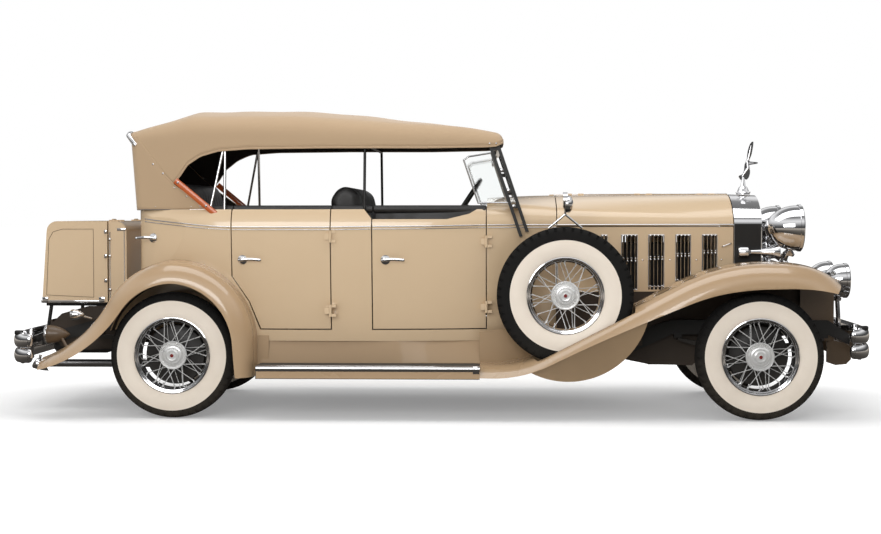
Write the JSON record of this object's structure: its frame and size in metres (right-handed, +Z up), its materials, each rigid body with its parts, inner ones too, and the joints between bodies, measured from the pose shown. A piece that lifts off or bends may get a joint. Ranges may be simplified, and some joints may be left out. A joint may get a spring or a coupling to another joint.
{
  "type": "touring car",
  "caption": "Open touring car with a raised cloth top, hinged doors, hood and trunk lid, steering front wheels and spare wheels set in the front fenders.",
  "frame": {"origin": "on the ground, midway between the front and rear bumpers, on the centre plane", "axes": "+X forward, +Y to the car's left, +Z up"},
  "size_m": [5.52, 1.8534, 2.0041],
  "materials": {
    "body_paint": "gloss",
    "cloth": "woven",
    "leather": "pleated",
    "chrome": "polished",
    "black_metal": "satin",
    "dark_metal": "satin",
    "black_rubber": "matt",
    "tyre": "matt",
    "clear_glass": "clear",
    "varnished_wood": "varnished",
    "carpet": "pile",
    "steel": "brushed"
  },
  "bodies": {
    "chassis": {"aprons": "body_paint", "axles": "black_metal", "body_rear": "body_paint", "canopy": "cloth", "cowl": "body_paint", "cushions": "leather", "dashboard": "varnished_wood", "engine": "dark_metal", "exhaust": "steel", "floor": "carpet", "frame": "black_metal", "front_bumper": "chrome", "front_fenders": "body_paint", "fuel_tank": "black_metal", "hood_sides": "body_paint", "horns": "chrome", "lamp_lenses": "clear_glass", "lamp_shells": "chrome", "levers": "steel", "mirrors": "chrome", "radiator_cap": "chrome", "radiator_core": "black_metal", "radiator_shell": "chrome", "rear_bumper": "chrome", "rear_fenders": "body_paint", "running_boards": "black_rubber", "seat_backs": "leather", "sills": "body_paint", "spare_tyres": "tyre", "spare_wheels": "chrome", "springs": "dark_metal", "steering_column": "black_metal", "tail_lamps": "chrome", "top_bows": "chrome", "trunk_box": "body_paint", "trunk_rack": "black_metal", "windshield_frame": "chrome", "windshield_glass": "clear_glass", "wood_bows": "varnished_wood"},
    "door_front_left": {"door_front_left": "body_paint"},
    "door_front_right": {"door_front_right": "body_paint"},
    "door_rear_left": {"door_rear_left": "body_paint"},
    "door_rear_right": {"door_rear_right": "body_paint"},
    "hood_top_left": {"hood_top_left": "body_paint"},
    "hood_top_right": {"hood_top_right": "body_paint"},
    "knuckle_left": {"knuckle_left": "dark_metal"},
    "knuckle_right": {"knuckle_right": "dark_metal"},
    "tie_rod": {"tie_rod": "dark_metal"},
    "steering_wheel": {"steering_wheel": "black_rubber"},
    "trunk_lid": {"trunk_lid": "body_paint"},
    "wheel_rear_left": {"wheel_rear_left": "chrome", "tyre_rear_left": "tyre"},
    "wheel_rear_right": {"wheel_rear_right": "chrome", "tyre_rear_right": "tyre"},
    "wheel_front_left": {"wheel_front_left": "chrome", "tyre_front_left": "tyre"},
    "wheel_front_right": {"wheel_front_right": "chrome", "tyre_front_right": "tyre"}
  },
  "joints": [
    {"name": "door_front_left_hinge", "type": "hinge", "parent": "chassis", "child": "door_front_left", "pos_m": [0.31875, 0.68051, 0.9], "axis": [0, 0, -1], "range_deg": [0, 68]},
    {"name": "door_front_right_hinge", "type": "hinge", "parent": "chassis", "child": "door_front_right", "pos_m": [0.31875, -0.68051, 0.9], "axis": [0, 0, 1], "range_deg": [0, 68]},
    {"name": "door_rear_left_hinge", "type": "hinge", "parent": "chassis", "child": "door_rear_left", "pos_m": [-0.66625, 0.7753, 0.9], "axis": [0, 0, -1], "range_deg": [0, 68]},
    {"name": "door_rear_right_hinge", "type": "hinge", "parent": "chassis", "child": "door_rear_right", "pos_m": [-0.66625, -0.7753, 0.9], "axis": [0, 0, 1], "range_deg": [0, 68]},
    {"name": "knuckle_left_steer", "type": "hinge", "parent": "chassis", "child": "knuckle_left", "pos_m": [2.03, 0.6, 0.4], "axis": [0, 0, 1], "range_deg": [-28, 28]},
    {"name": "knuckle_right_steer", "type": "hinge", "parent": "chassis", "child": "knuckle_right", "pos_m": [2.03, -0.6, 0.4], "axis": [0, 0, 1], "range_deg": [-28, 28]},
    {"name": "tie_rod_pivot", "type": "hinge", "parent": "knuckle_left", "child": "tie_rod", "pos_m": [1.87, 0.6, 0.38], "axis": [0, 0, 1], "range_deg": [-28, 28]},
    {"name": "steering_wheel_turn", "type": "hinge", "parent": "chassis", "child": "steering_wheel", "pos_m": [0.149, 0.38, 1.354], "axis": [-0.8387, 0, 0.5446], "range_deg": [-450, 450]},
    {"name": "wheel_rear_left_spin", "type": "hinge", "parent": "chassis", "child": "wheel_rear_left", "pos_m": [-1.67, 0.7425, 0.4], "axis": [0, 1, 0], "continuous": true},
    {"name": "wheel_front_left_spin", "type": "hinge", "parent": "knuckle_left", "child": "wheel_front_left", "pos_m": [2.03, 0.7425, 0.4], "axis": [0, 1, 0], "continuous": true},
    {"name": "wheel_rear_right_spin", "type": "hinge", "parent": "chassis", "child": "wheel_rear_right", "pos_m": [-1.67, -0.7425, 0.4], "axis": [0, 1, 0], "continuous": true},
    {"name": "wheel_front_right_spin", "type": "hinge", "parent": "knuckle_right", "child": "wheel_front_right", "pos_m": [2.03, -0.7425, 0.4], "axis": [0, 1, 0], "continuous": true},
    {"name": "hood_top_left_hinge", "type": "hinge", "parent": "chassis", "child": "hood_top_left", "pos_m": [1.348, 0, 1.426], "axis": [1, 0, 0], "range_deg": [0, 55]},
    {"name": "hood_top_right_hinge", "type": "hinge", "parent": "chassis", "child": "hood_top_right", "pos_m": [1.348, 0, 1.426], "axis": [-1, 0, 0], "range_deg": [0, 55]},
    {"name": "trunk_lid_hinge", "type": "hinge", "parent": "chassis", "child": "trunk_lid", "pos_m": [-2.167, 0, 1.258], "axis": [0, 1, 0], "range_deg": [0, 85]}
  ],
  "couplings": [
    {"joint": "knuckle_right_steer", "follows": "knuckle_left_steer", "ratio": 1},
    {"joint": "tie_rod_pivot", "follows": "knuckle_left_steer", "ratio": -1},
    {"joint": "steering_wheel_turn", "follows": "knuckle_left_steer", "ratio": 16}
  ]
}
